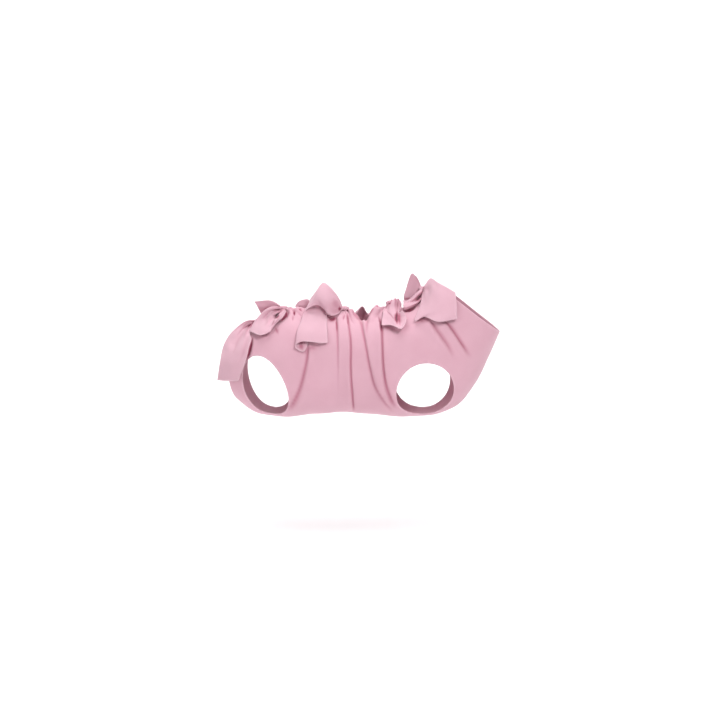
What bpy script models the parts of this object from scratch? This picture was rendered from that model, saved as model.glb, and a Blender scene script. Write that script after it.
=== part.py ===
# Dog recovery suit: one wrap of stretch cloth with four leg holes, tied along the back.
#
# Frame, in metres: the origin is on the wearer's spine, under the back opening.
# +X points to the wearer's head, +Z up, and -Y is the near side (the wearer's right).

import math

import bmesh
import bpy
import numpy as np
from mathutils import Vector
from mathutils.bvhtree import BVHTree

MM = 0.001

# Cloth and overall sizes
CLOTH = 1.2 * MM
WRAP_LENGTH = 330 * MM
WRAP_DEPTH = 128 * MM
WRAP_WIDTH = 134 * MM

# The back opening: its two edges nearly meet at each tie and stand apart between ties.
# END_REACH is a share of WRAP_LENGTH, and SAG is the share of the rise lost between ties.
EDGE_GAP = 2.4 * MM
EDGE_RISE_REACH = 26 * MM
END_REACH = 0.05
SAG = 0.75
GATHER_DEPTH = 1.5 * MM
GATHER_LENGTH = 13 * MM
GATHER_REACH = 30 * MM

# Leg holes, as the length and height that show from the side. Their middles are in shares of
# WRAP_LENGTH along, WRAP_WIDTH out and WRAP_DEPTH up.
FORE_HOLE_X = 0.294
FORE_HOLE_Z = -0.73
FORE_HOLE_LENGTH = 76 * MM
FORE_HOLE_HEIGHT = 84 * MM
HIND_HOLE_X = -0.325
HIND_HOLE_Z = -0.70
HIND_HOLE_LENGTH = 54 * MM
HIND_HOLE_HEIGHT = 98 * MM
HIND_HOLE_LEAN = 20.0
HOLE_OUT = 0.47
HOLE_SPREAD = 52 * MM

# Pleats
PLEAT_HEIGHT = 3.2 * MM
PLEAT_WIDTH = 8 * MM
PLEAT_STEP = 2.2 * MM
PLEAT_FADE = 0.15

# Ties
KNOT_LENGTH = 12 * MM
KNOT_WIDTH = 9 * MM
KNOT_HEIGHT = 8 * MM
KNOT_GROOVE = 0.5 * MM
KNOT_GROOVE_COUNT = 2
KNOT_TWIST = 8.0
ROOT_SHARE = 0.6
ROOT_OUT = 0.7
SEAT = 0.3 * MM
TAIL_CLEARANCE = 1.3 * MM
RUN_ON = 50 * MM

# Mesh fineness. CROWDING draws the points of a section towards its back edges.
STEPS_ALONG = 104
STEPS_AROUND = 60
CROWDING = 0.6
KEPT_SHARE = 0.24
TAIL_STEPS_ALONG = 8
TAIL_STEPS_ACROSS = 6

# Each section is a ring from a point on the back to a point on the belly or chest.
# x in shares of WRAP_LENGTH, z in shares of WRAP_DEPTH, width in shares of WRAP_WIDTH.
# keel moves the widest place up, bow pushes the flanks along X, in shares of WRAP_LENGTH.
SECTION_COLUMNS = ("back_x", "back_z", "belly_x", "belly_z", "width", "keel", "bow")
SECTIONS = {
    "rump_rim": (-0.400, -0.14, -0.440, -0.84, 0.56, 0.00, -0.050),
    "rump": (-0.368, -0.09, -0.392, -0.94, 0.74, 0.00, -0.035),
    "hips": (-0.288, 0.00, -0.300, -1.01, 0.87, 0.02, -0.010),
    "loin": (-0.180, 0.03, -0.185, -1.00, 0.90, 0.04, 0.0),
    "waist": (-0.045, 0.01, -0.045, -0.975, 0.89, 0.05, 0.0),
    "saddle": (0.060, 0.00, 0.060, -0.98, 0.93, 0.06, 0.0),
    "ribs": (0.152, 0.04, 0.167, -1.01, 0.98, 0.08, 0.0),
    "shoulder": (0.228, 0.09, 0.288, -1.01, 1.00, 0.10, 0.0),
    "chest": (0.279, 0.17, 0.409, -0.92, 0.97, 0.10, 0.0),
    "breast": (0.303, 0.26, 0.500, -0.66, 0.86, 0.06, 0.0),
    "throat": (0.312, 0.33, 0.552, -0.375, 0.75, 0.03, 0.0),
    "neck_rim": (0.318, 0.385, 0.588, -0.14, 0.66, 0.00, 0.0),
}
FLANK_POWER = 0.88

# Ties from rump to withers: place along the back as a share of WRAP_LENGTH, how far the
# edges are pulled up there and how far they stand apart before the next tie, in metres.
TIE_COLUMNS = ("x", "rise", "open_after")
TIES = {
    "rump": (-0.368, 0 * MM, 5 * MM),
    "hip": (-0.260, 4 * MM, 4 * MM),
    "loin": (-0.143, 5 * MM, 5 * MM),
    "waist": (-0.020, 5 * MM, 10 * MM),
    "rib": (0.158, 7 * MM, 7 * MM),
    "withers": (0.286, 4 * MM, 4 * MM),
}

# Pleats on the near flank, mirrored on the far one, from the back down.
# x in shares of WRAP_LENGTH and z in shares of WRAP_DEPTH at the top, middle and bottom.
# height is a share of PLEAT_HEIGHT, and side is +1 where the raised cloth lies to the front.
PLEAT_COLUMNS = ("top_x", "top_z", "mid_x", "mid_z", "low_x", "low_z", "height", "side")
PLEATS = (
    (-0.142, -0.22, -0.172, -0.60, -0.243, -0.92, 1.0, 1),
    (-0.052, 0.00, -0.050, -0.30, -0.048, -0.62, 0.5, 1),
    (-0.012, 0.06, 0.002, -0.45, 0.016, -0.96, 0.9, -1),
    (0.012, 0.02, 0.070, -0.42, 0.170, -0.95, 0.8, 1),
    (0.110, 0.02, 0.126, -0.42, 0.172, -0.86, 1.1, -1),
    (0.300, 0.10, 0.352, -0.10, 0.408, -0.34, 0.8, 1),
    (0.372, 0.06, 0.420, -0.12, 0.476, -0.30, 1.0, 1),
)

# Tails, as rows of points from the knot out to the free end. Each point is x, down and
# out in shares of the tail's width: x and down from the knot's centre, and out off the
# flank for a tail that is laid on it, or off the suit's middle plane for one that stands.
TAILS = {
    "rump_near_tail": dict(tie="rump", side=-1, width=27 * MM, laid=True, rows=(
        ((-0.34, -0.07, 0.08), (-0.19, 0.13, 0.14), (-0.05, 0.32, 0.06)),
        ((-0.87, 0.16, 0.14), (-0.63, 0.36, 0.18), (-0.17, 0.51, 0.08)),
        ((-1.30, 0.80, 0.24), (-0.91, 0.95, 0.26), (-0.43, 1.05, 0.14)),
        ((-1.88, 2.62, 0.18), (-1.40, 2.72, 0.26), (-0.91, 2.72, 0.20)),
    )),
    "rump_far_tail": dict(tie="rump", side=1, width=27 * MM, laid=True, rows=(
        ((-0.34, 0.05, 0.08), (-0.19, 0.23, 0.14), (-0.05, 0.40, 0.06)),
        ((-0.80, 0.40, 0.10), (-0.56, 0.55, 0.16), (-0.14, 0.66, 0.08)),
        ((-1.20, 1.10, 0.12), (-0.82, 1.20, 0.18), (-0.38, 1.26, 0.10)),
        ((-1.72, 2.66, 0.16), (-1.26, 2.72, 0.20), (-0.80, 2.70, 0.14)),
    )),
    "hip_near_tail": dict(tie="hip", side=-1, width=36 * MM, laid=True, rows=(
        ((-0.20, -0.10, 0.14), (-0.27, 0.11, 0.12), (-0.11, 0.30, 0.20)),
        ((-0.58, -0.11, 0.24), (-0.58, 0.26, 0.20), (-0.36, 0.48, 0.30)),
        ((-0.90, 0.18, 0.32), (-0.79, 0.48, 0.26), (-0.51, 0.66, 0.28)),
        ((-1.20, 0.62, 0.38), (-0.90, 0.77, 0.30), (-0.54, 0.74, 0.22)),
    )),
    "hip_far_tail": dict(tie="hip", side=1, width=36 * MM, laid=False, rows=(
        ((-0.29, -0.16, 0.20), (-0.33, -0.01, 0.26), (-0.36, 0.10, 0.30)),
        ((-1.05, -0.22, 0.34), (-0.94, 0.00, 0.44), (-0.84, 0.22, 0.44)),
    )),
    "loin_near_tail": dict(tie="loin", side=-1, width=40 * MM, laid=True, rows=(
        ((-0.23, 0.14, 0.10), (0.08, 0.04, 0.22), (0.36, 0.14, 0.10)),
        ((-0.39, 0.34, 0.08), (0.00, 0.37, 0.12), (0.41, 0.44, 0.08)),
        ((-0.57, 0.94, 0.12), (-0.10, 0.94, 0.14), (0.42, 0.97, 0.12)),
        ((-0.49, 1.16, 0.05), (-0.16, 1.00, 0.08), (0.37, 1.00, 0.09)),
    )),
    "loin_far_tail": dict(tie="loin", side=1, width=38 * MM, laid=True, rows=(
        ((-0.58, -0.04, 0.12), (-0.34, -0.25, 0.10), (-0.07, -0.20, 0.10)),
        ((-0.62, 0.34, 0.08), (-0.20, 0.30, 0.12), (0.20, 0.34, 0.08)),
        ((-0.66, 0.92, 0.10), (-0.20, 0.96, 0.12), (0.28, 0.94, 0.10)),
    )),
    "waist_near_tail": dict(tie="waist", side=-1, width=42 * MM, laid=False, rows=(
        ((-0.12, -0.25, 0.16), (-0.22, -0.04, 0.42), (-0.34, 0.15, 0.58)),
        ((-0.22, -0.47, 0.12), (-0.46, -0.25, 0.52), (-0.59, 0.06, 0.62)),
        ((-0.43, -0.72, 0.10), (-0.71, -0.50, 0.46), (-0.84, -0.15, 0.56)),
        ((-0.71, -0.82, 0.08), (-0.90, -0.57, 0.28), (-1.05, -0.29, 0.42)),
    )),
    "waist_far_tail": dict(tie="waist", side=1, width=40 * MM, laid=True, rows=(
        ((-0.30, 0.16, 0.10), (0.00, 0.08, 0.16), (0.30, 0.16, 0.10)),
        ((-0.42, 0.48, 0.08), (0.00, 0.44, 0.12), (0.38, 0.46, 0.08)),
        ((-0.50, 1.00, 0.10), (-0.02, 1.02, 0.14), (0.44, 0.98, 0.10)),
    )),
    "rib_near_tail": dict(tie="rib", side=-1, width=34 * MM, laid=True, rows=(
        ((-0.38, 0.14, 0.06), (-0.12, 0.14, 0.10), (0.10, 0.12, 0.14), (0.27, 0.04, 0.12)),
        ((-0.40, 0.35, 0.08), (-0.08, 0.39, 0.18), (0.26, 0.40, 0.34), (0.38, 0.14, 0.26)),
        ((-0.31, 0.69, 0.12), (0.15, 0.76, 0.24), (0.52, 0.62, 0.44), (0.42, 0.18, 0.44)),
    )),
    "rib_far_tail": dict(tie="rib", side=1, width=38 * MM, laid=True, rows=(
        ((-0.36, 0.16, 0.06), (-0.05, 0.10, 0.10), (0.26, 0.16, 0.06)),
        ((-0.40, 0.52, 0.08), (-0.02, 0.48, 0.14), (0.36, 0.50, 0.08)),
        ((-0.44, 0.98, 0.10), (0.02, 1.02, 0.16), (0.46, 0.96, 0.10)),
    )),
    "withers_near_tail": dict(tie="withers", side=-1, width=55 * MM, laid=True, rows=(
        ((-0.02, 0.08, 0.18), (0.04, -0.01, 0.18), (0.10, -0.09, 0.15), (0.17, -0.16, 0.12)),
        ((-0.09, 0.33, 0.10), (0.09, 0.28, 0.12), (0.31, 0.16, 0.11), (0.53, -0.04, 0.09)),
        ((-0.15, 0.49, 0.09), (0.12, 0.47, 0.10), (0.40, 0.45, 0.11), (0.77, 0.06, 0.09)),
        ((-0.20, 0.67, 0.10), (0.07, 0.58, 0.14), (0.43, 0.69, 0.12), (0.80, 0.62, 0.10)),
    )),
    "withers_far_tail": dict(tie="withers", side=1, width=38 * MM, laid=False, rows=(
        ((-0.27, -0.16, 0.10), (-0.29, 0.10, -0.10), (-0.29, 0.36, -0.26), (-0.26, 0.20, -0.36)),
        ((-0.38, -0.44, 0.10), (-0.41, 0.30, -0.16), (-0.41, 0.58, -0.36), (-0.38, 0.38, -0.46)),
        ((-0.48, -0.37, 0.10), (-0.70, 0.33, -0.18), (-0.77, 0.62, -0.36), (-0.75, 0.44, -0.44)),
    )),
}

COLOURS = {
    "wrap": (0.70, 0.42, 0.50),
    "tie": (0.74, 0.46, 0.54),
}


# Helpers

def clear_scene():
    for thing in list(bpy.data.objects):
        bpy.data.objects.remove(thing, do_unlink=True)


def collection(name):
    made = bpy.data.collections.new(name)
    bpy.context.scene.collection.children.link(made)
    return made


def cloth_material(name):
    made = bpy.data.materials.new(name)
    made.use_nodes = True
    shader = made.node_tree.nodes["Principled BSDF"]
    shader.inputs["Base Color"].default_value = (*COLOURS[name], 1.0)
    shader.inputs["Roughness"].default_value = 0.85
    shader.inputs["Metallic"].default_value = 0.0
    return made


def ease(share):
    """0 to 1 with level ends."""
    share = np.clip(share, 0.0, 1.0)
    return share * share * (3.0 - 2.0 * share)


def curve_through(places, values, at):
    """Values at the places, joined by a smooth cubic curve and run on straight past the ends."""
    places = np.asarray(places, float)
    values = np.asarray(values, float)
    slopes = np.gradient(values, places, axis=0)
    inside = np.clip(at, places[0], places[-1])
    beyond = at - inside
    row = np.clip(np.searchsorted(places, inside, side="right") - 1, 0, len(places) - 2)
    span = places[row + 1] - places[row]
    t = (inside - places[row]) / span
    if values.ndim == 2:
        t, span, beyond = t[..., None], span[..., None], beyond[..., None]
    start, end = values[row], values[row + 1]
    start_slope, end_slope = slopes[row] * span, slopes[row + 1] * span
    return (
        start * (2 * t**3 - 3 * t**2 + 1)
        + start_slope * (t**3 - 2 * t**2 + t)
        + end * (3 * t**2 - 2 * t**3)
        + end_slope * (t**3 - t**2)
        + np.where(beyond > 0, slopes[-1], slopes[0]) * beyond
    )


def sheet_mesh(name, grid):
    """An open sheet of quads through a grid of points, rows by columns."""
    rows, columns = grid.shape[:2]
    mesh = bmesh.new()
    points = [[mesh.verts.new(grid[i, j]) for j in range(columns)] for i in range(rows)]
    for i in range(rows - 1):
        for j in range(columns - 1):
            mesh.faces.new(
                (points[i][j], points[i][j + 1], points[i + 1][j + 1], points[i + 1][j])
            )
    data = bpy.data.meshes.new(name)
    mesh.to_mesh(data)
    mesh.free()
    return data


def add_object(name, data, group, material):
    made = bpy.data.objects.new(name, data)
    group.objects.link(made)
    data.materials.append(material)
    data.shade_smooth()
    return made


def add_cloth_wall(thing, offset):
    wall = thing.modifiers.new("cloth", "SOLIDIFY")
    wall.thickness = CLOTH
    wall.offset = offset
    return wall


# The wrap

def section_table():
    """The sections in metres, with the distance along the suit of each."""
    shares = np.array(list(SECTIONS.values()))
    unit = np.array(
        (WRAP_LENGTH, WRAP_DEPTH, WRAP_LENGTH, WRAP_DEPTH, WRAP_WIDTH, 1.0, WRAP_LENGTH)
    )
    table = shares * unit
    middles = (table[:, 0:2] + table[:, 2:4]) / 2
    steps = np.linalg.norm(np.diff(middles, axis=0), axis=1)
    return np.concatenate([[0.0], np.cumsum(steps)]), table


def between_ties(x):
    """How far the back edges are pulled up and stand apart at x, from the ties beside it."""
    tie = dict(zip(TIE_COLUMNS, np.array(list(TIES.values())).T))
    places, rises, opens = tie["x"] * WRAP_LENGTH, tie["rise"], tie["open_after"]
    inside = np.clip(x, places[0], places[-1])
    row = np.clip(np.searchsorted(places, inside, side="right") - 1, 0, len(places) - 2)
    t = (inside - places[row]) / (places[row + 1] - places[row])
    belly = np.sin(np.pi * t) ** 2
    rise = rises[row] * (1 - ease(t)) + rises[row + 1] * ease(t)
    past_end = ease((x - places[-1]) / (END_REACH * WRAP_LENGTH)) * opens[-1]
    before_start = ease((places[0] - x) / (END_REACH * WRAP_LENGTH)) * opens[0]
    apart = EDGE_GAP / 2 + opens[row] * belly + past_end + before_start
    return rise * (1 - SAG * belly), apart


def pleat_height(x, z):
    """How far the pleats raise the flank at a place seen from the side."""
    total = np.zeros_like(x)
    for row in PLEATS:
        pleat = dict(zip(PLEAT_COLUMNS, row))
        spots = ("top", "mid", "low")
        depths = -np.array([pleat[f"{spot}_z"] for spot in spots]) * WRAP_DEPTH
        places = np.array([pleat[f"{spot}_x"] for spot in spots]) * WRAP_LENGTH
        line = curve_through(depths, places, -z)
        t = (-z - depths[0]) / (depths[-1] - depths[0])
        fade = ease(t / PLEAT_FADE) * ease((1 - t) / PLEAT_FADE)
        off = (x - line) * pleat["side"]
        reach = np.where(off > 0, PLEAT_WIDTH, PLEAT_STEP)
        total += pleat["height"] * PLEAT_HEIGHT * fade * np.exp(-((off / reach) ** 2))
    return total


def wrap_grid(run_on=0.0, slit=True):
    """The wrap's outer face as rows of points, from the near back edge round to the far one.
    With no slit it is the smooth shape that lies just over the gathers, closed on the back."""
    places, table = section_table()
    along = np.linspace(-run_on, places[-1] + run_on, STEPS_ALONG + 1)
    rows = curve_through(places, table, along)
    section = dict(zip(SECTION_COLUMNS, rows.T))
    back = np.stack([section["back_x"], section["back_z"]], axis=1)
    belly = np.stack([section["belly_x"], section["belly_z"]], axis=1)
    half_width, keel, bow = section["width"] / 2, section["keel"], section["bow"]

    rise, apart = between_ties(section["back_x"])
    if slit:
        start = np.arcsin((apart / (half_width * (1 + keel))) ** (1 / FLANK_POWER))
    else:
        start = np.zeros_like(apart)
    even = np.linspace(0.0, 1.0, STEPS_AROUND + 1)
    share = even - CROWDING * np.sin(2 * np.pi * even) / (2 * np.pi)
    angle = start[:, None] + share[None, :] * (2 * np.pi - 2 * start[:, None])

    middle = (back + belly) / 2
    half = (back - belly) / 2
    up = np.cos(angle)
    out = np.sin(angle)
    flank = np.sign(out) * np.abs(out) ** FLANK_POWER
    grid = np.empty((*angle.shape, 3))
    grid[..., 0] = middle[:, :1] + half[:, :1] * up + bow[:, None] * out**2
    grid[..., 1] = -half_width[:, None] * flank * (1 + keel[:, None] * up)
    grid[..., 2] = middle[:, 1:] + half[:, 1:] * up

    girth = np.linalg.norm(np.diff(grid, axis=1), axis=2)
    from_start = np.concatenate(
        [np.zeros((len(grid), 1)), np.cumsum(girth, axis=1)], axis=1
    )
    from_edge = np.minimum(from_start, from_start[:, -1:] - from_start)
    if not slit:
        from_edge = np.maximum(from_edge - apart[:, None], 0.0)
    grid[..., 2] += rise[:, None] * (1 - ease(from_edge / EDGE_RISE_REACH))

    normal = np.cross(np.gradient(grid, axis=1), np.gradient(grid, axis=0))
    normal /= np.linalg.norm(normal, axis=2, keepdims=True)
    slack = ease(from_edge / GATHER_REACH)
    wave = np.sin(2 * np.pi * grid[..., 0] / GATHER_LENGTH) if slit else 1.0
    lift = pleat_height(grid[..., 0], grid[..., 2]) * slack
    lift += GATHER_DEPTH * wave * (1 - slack)
    return grid + normal * lift[..., None]


def leg_hole_cutter(name, x, z, length, height, lean, side, group):
    """An egg that takes the leg's opening out of one flank, and leaves the strap between the legs."""
    bpy.ops.mesh.primitive_uv_sphere_add(segments=40, ring_count=24, radius=1.0)
    made = bpy.context.object
    made.name = name
    made.data.name = name
    made.scale = (length / 2, HOLE_SPREAD, height / 2)
    made.rotation_euler = (0.0, -math.radians(lean), 0.0)
    made.location = (x * WRAP_LENGTH, side * HOLE_OUT * WRAP_WIDTH, z * WRAP_DEPTH)
    for owner in list(made.users_collection):
        owner.objects.unlink(made)
    group.objects.link(made)
    made.hide_render = True
    made.display_type = "WIRE"
    return made


def build_wrap(group, cutters, material):
    grid = wrap_grid()
    thing = add_object("body_wrap", sheet_mesh("body_wrap", grid), group, material)
    fewer = thing.modifiers.new("fewer_faces", "DECIMATE")
    fewer.ratio = KEPT_SHARE
    add_cloth_wall(thing, -1.0)
    for side, flank in ((-1, "near"), (1, "far")):
        holes = (
            leg_hole_cutter(
                f"fore_hole_{flank}", FORE_HOLE_X, FORE_HOLE_Z,
                FORE_HOLE_LENGTH, FORE_HOLE_HEIGHT, 0.0, side, cutters,
            ),
            leg_hole_cutter(
                f"hind_hole_{flank}", HIND_HOLE_X, HIND_HOLE_Z,
                HIND_HOLE_LENGTH, HIND_HOLE_HEIGHT, HIND_HOLE_LEAN, side, cutters,
            ),
        )
        for cutter in holes:
            cut = thing.modifiers.new(cutter.name, "BOOLEAN")
            cut.operation = "DIFFERENCE"
            cut.object = cutter
    return thing


# The ties

def outline_tree():
    """The wrap's smooth shape, closed on the back and run on past both ends, to lay tails on."""
    grid = wrap_grid(RUN_ON, slit=False)
    rows, columns = grid.shape[:2]
    points = [Vector(p) for p in grid.reshape(-1, 3)]
    faces = [
        (i * columns + j, i * columns + j + 1, (i + 1) * columns + j + 1, (i + 1) * columns + j)
        for i in range(rows - 1)
        for j in range(columns - 1)
    ]
    return BVHTree.FromPolygons(points, faces)


def knot_centre(tie, tree):
    """Where the knot sits down on the back edges with the seat's gap under it."""
    x = TIES[tie][0] * WRAP_LENGTH
    height = -math.inf
    for along in np.linspace(-1.0, 1.0, 25):
        for across in np.linspace(-1.0, 1.0, 25):
            inside = 1.0 - along**2 - across**2
            if inside < 0:
                continue
            above = Vector(
                (x + along * KNOT_LENGTH / 2, across * KNOT_WIDTH / 2, WRAP_DEPTH)
            )
            hit = tree.ray_cast(above, Vector((0.0, 0.0, -1.0)))[0]
            if hit is not None:
                height = max(height, hit.z + math.sqrt(inside) * KNOT_HEIGHT / 2)
    return Vector((x, 0.0, height + SEAT))


def build_knot(tie, centre, group, material):
    """A bundle of cloth wrapped round itself: an egg with slanting grooves."""
    bpy.ops.mesh.primitive_uv_sphere_add(segments=12, ring_count=8, radius=0.5)
    made = bpy.context.object
    made.name = f"{tie}_knot"
    made.data.name = made.name
    sizes = Vector((KNOT_LENGTH, KNOT_WIDTH, KNOT_HEIGHT))
    for point in made.data.vertices:
        turn = math.atan2(point.co.z, point.co.y)
        groove = 0.5 + 0.5 * math.sin(KNOT_GROOVE_COUNT * turn + KNOT_TWIST * point.co.x)
        narrowed = 1 - 2 * KNOT_GROOVE * groove / KNOT_WIDTH
        point.co = Vector(
            (
                point.co.x * sizes.x,
                point.co.y * sizes.y * narrowed,
                point.co.z * sizes.z * narrowed,
            )
        )
    made.location = centre
    for owner in list(made.users_collection):
        owner.objects.unlink(made)
    group.objects.link(made)
    made.data.materials.append(material)
    made.data.shade_smooth()
    return made


def flank_at(outline, x, z, side):
    """How far out the flank is at x and z as seen from the side, or 0 above it."""
    start = Vector((x, side * 2 * WRAP_WIDTH, z))
    hit = outline.ray_cast(start, Vector((0.0, -side, 0.0)))[0]
    return 0.0 if hit is None else abs(hit.y)


def beside_knot(knot, towards, across):
    """The short line of cloth beside the knot where a tail leaves it, and runs along across."""
    centre = knot.location
    points = [centre + point.co for point in knot.data.vertices]
    surface = BVHTree.FromPolygons(points, [face.vertices for face in knot.data.polygons])
    direction = (towards - centre).normalized()
    hit, normal, _, _ = surface.ray_cast(centre + direction * KNOT_LENGTH, -direction)
    root = hit + normal * (SEAT + CLOTH / 4)
    half = across - normal * across.dot(normal)
    half = half.normalized() * KNOT_HEIGHT * ROOT_SHARE / 2
    return root - half, root + half


def clear_of_wrap(grid, outline):
    """Push a tail's points straight out from the wearer's middle until they clear the wrap."""
    middle = -WRAP_DEPTH / 2
    clearance = CLOTH / 2 + TAIL_CLEARANCE
    for place in np.ndindex(grid.shape[:2]):
        point = Vector(grid[place])
        heart = Vector((point.x, 0.0, middle))
        spoke = (point - heart).normalized()
        hit = outline.ray_cast(heart + spoke * 2 * WRAP_WIDTH, -spoke)[0]
        if hit is not None:
            clear = (hit - heart).length + clearance
            grid[place] = heart + spoke * max(clear, (point - heart).length)
    return grid


def smooth_grid(points):
    """A finer grid of points through a coarse one, smooth both ways."""
    rows, columns = points.shape[:2]
    down = np.linspace(0.0, rows - 1.0, TAIL_STEPS_ALONG + 1)
    over = np.linspace(0.0, columns - 1.0, TAIL_STEPS_ACROSS + 1)
    flat = curve_through(np.arange(rows), points.reshape(rows, -1), down)
    turned = flat.reshape(len(down), columns, 3).swapaxes(0, 1)
    fine = curve_through(np.arange(columns), turned.reshape(columns, -1), over)
    return fine.reshape(len(over), len(down), 3).swapaxes(0, 1)


def build_tail(name, tail, knot, outline, group, material):
    side, width = tail["side"], tail["width"]
    rows = []
    for row in tail["rows"]:
        rows.append([])
        for x, down, out in row:
            place = knot.location + Vector((x, 0.0, -down)) * width
            base = 0.0
            if tail["laid"]:
                base = max(flank_at(outline, place.x, place.z, side), ROOT_OUT * KNOT_WIDTH)
            place.y = side * (base + out * width)
            rows[-1].append(place)
    first = rows[0]
    ends = beside_knot(knot, sum(first, Vector()) / len(first), first[-1] - first[0])
    count = len(first)
    root = [ends[0].lerp(ends[1], i / (count - 1)) for i in range(count)]
    grid = smooth_grid(np.array([root] + rows))
    grid[1:] = clear_of_wrap(grid[1:], outline)
    thing = add_object(name, sheet_mesh(name, grid), group, material)
    add_cloth_wall(thing, 0.0)


def main():
    clear_scene()
    suit = collection("dog_recovery_suit")
    cutters = collection("cutters")
    cutters.hide_render = True
    wrap_cloth = cloth_material("wrap")
    tie_cloth = cloth_material("tie")

    wrap = build_wrap(suit, cutters, wrap_cloth)
    tree = BVHTree.FromObject(wrap, bpy.context.evaluated_depsgraph_get())
    knots = {
        tie: build_knot(tie, knot_centre(tie, tree), suit, tie_cloth) for tie in TIES
    }
    outline = outline_tree()
    for name, tail in TAILS.items():
        build_tail(name, tail, knots[tail["tie"]], outline, suit, tie_cloth)


main()
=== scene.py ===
# Dog recovery suit: one wrap of stretch jersey with four leg holes, tied along the back.
# Everything is in metres and in the CAD model's frame: the origin is on the spine under
# the back opening, +X points to the head, -Y is the near side and +Z is up.

import math

import bpy
import numpy as np
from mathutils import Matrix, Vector
from mathutils.bvhtree import BVHTree


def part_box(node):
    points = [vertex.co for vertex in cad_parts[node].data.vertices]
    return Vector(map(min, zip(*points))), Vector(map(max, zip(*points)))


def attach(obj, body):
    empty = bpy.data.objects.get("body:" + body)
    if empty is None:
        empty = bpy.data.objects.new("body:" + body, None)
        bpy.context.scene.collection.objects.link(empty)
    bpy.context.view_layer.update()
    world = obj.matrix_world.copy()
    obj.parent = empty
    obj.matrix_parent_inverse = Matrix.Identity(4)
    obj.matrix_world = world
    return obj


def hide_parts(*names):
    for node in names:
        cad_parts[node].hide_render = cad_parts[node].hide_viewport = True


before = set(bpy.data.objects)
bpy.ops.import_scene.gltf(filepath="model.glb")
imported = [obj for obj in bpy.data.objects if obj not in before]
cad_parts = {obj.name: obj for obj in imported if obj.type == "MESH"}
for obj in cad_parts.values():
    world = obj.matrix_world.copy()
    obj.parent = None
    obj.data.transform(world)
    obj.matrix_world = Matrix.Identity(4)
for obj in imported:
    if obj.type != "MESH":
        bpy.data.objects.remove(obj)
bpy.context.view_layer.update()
mm = 0.001
bpy.ops.object.select_all(action="DESELECT")


# Camera and light

cameraSettings = {
    "target": (0.013, 0.0, -0.0565),
    "elevation": 8.0,
    "distance": 2.2,
    "lens": 84.6,
}

roomSettings = {
    "floorHeight": -0.262,
    "floorSize": 6.0,
    "wallBehind": 1.6,
    "bendRadius": 0.8,
    "bendSteps": 16,
    "white": (0.93, 0.93, 0.93, 1.0),
    "glow": (1.0, 1.0, 1.0, 1.0),
    "glowStrength": 0.25,
}

lightSettings = {
    # place, what it is aimed at, size in metres and power in watts
    "key": ((0.9, -1.6, 1.5), (0.0, 0.0, -0.03), 0.9, 31.0),
    "fill": ((-1.6, -1.6, 0.7), (0.0, 0.0, -0.05), 1.4, 13.0),
    "top": ((-0.1, 0.1, 2.0), (0.0, 0.0, 0.0), 1.4, 10.0),
    "backWash": ((0.0, 0.9, 1.5), (0.0, 1.7, 0.0), 2.2, 30.0),
}


def lookAt(thing, place, target):
    thing.location = place
    aim = Vector(target) - Vector(place)
    thing.rotation_euler = aim.to_track_quat("-Z", "Y").to_euler()


def addCamera(settings):
    tilt = math.radians(settings["elevation"])
    target = Vector(settings["target"])
    back = Vector((0.0, -math.cos(tilt), math.sin(tilt)))
    data = bpy.data.cameras.new("photoCamera")
    data.lens = settings["lens"]
    camera = bpy.data.objects.new("photoCamera", data)
    bpy.context.collection.objects.link(camera)
    lookAt(camera, target + back * settings["distance"], target)
    bpy.context.scene.camera = camera


def addLights(settings):
    for name, (place, target, size, power) in settings.items():
        data = bpy.data.lights.new(name, "AREA")
        data.shape = "DISK"
        data.size = size
        data.energy = power
        light = bpy.data.objects.new(name, data)
        bpy.context.collection.objects.link(light)
        lookAt(light, place, target)


def addRoom(settings):
    # A pale floor that bends up into a wall, as a sheet of studio paper does.
    half, radius = settings["floorSize"] / 2, settings["bendRadius"]
    base, wall = settings["floorHeight"], settings["wallBehind"]
    profile = [(-half, base), (wall - radius, base)]
    for step in range(1, settings["bendSteps"] + 1):
        turn = math.radians(90 * step / settings["bendSteps"])
        profile.append(
            (wall - radius + radius * math.sin(turn), base + radius * (1 - math.cos(turn)))
        )
    profile.append((wall, base + half))
    grid = np.array([[(x, y, z) for x in (-half, half)] for y, z in profile])
    room = sheetObject("studioPaper", grid)
    room.data.materials.append(plainMaterial("studioPaper", settings["white"]))


def addGlow(settings):
    # An even light from all round.
    scene = bpy.context.scene
    scene.world = scene.world or bpy.data.worlds.new("studio")
    scene.world.use_nodes = True
    background = scene.world.node_tree.nodes["Background"]
    background.inputs["Color"].default_value = settings["glow"]
    background.inputs["Strength"].default_value = settings["glowStrength"]
    scene.view_settings.view_transform = "Standard"


# Shader maths as plain expressions

class Socket:
    # One output of a shader node, with the arithmetic signs adding Math nodes.

    def __init__(self, tree, output):
        self.tree = tree
        self.output = output

    def maths(self, operation, first, second=None):
        values = [first] if second is None else [first, second]
        return self.tree.add("ShaderNodeMath", {"operation": operation}, dict(enumerate(values)))

    def __add__(self, other):
        return self.maths("ADD", self, other)

    def __radd__(self, other):
        return self.maths("ADD", other, self)

    def __sub__(self, other):
        return self.maths("SUBTRACT", self, other)

    def __rsub__(self, other):
        return self.maths("SUBTRACT", other, self)

    def __mul__(self, other):
        return self.maths("MULTIPLY", self, other)

    def __truediv__(self, other):
        return self.maths("DIVIDE", self, other)

    def __abs__(self):
        return self.maths("ABSOLUTE", self)

    def sine(self):
        return self.maths("SINE", self)

    def part(self):
        return self.maths("FRACT", self)

    def clamped(self):
        return self.maths("MINIMUM", self.maths("MAXIMUM", self, 0.0), 1.0)


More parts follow.
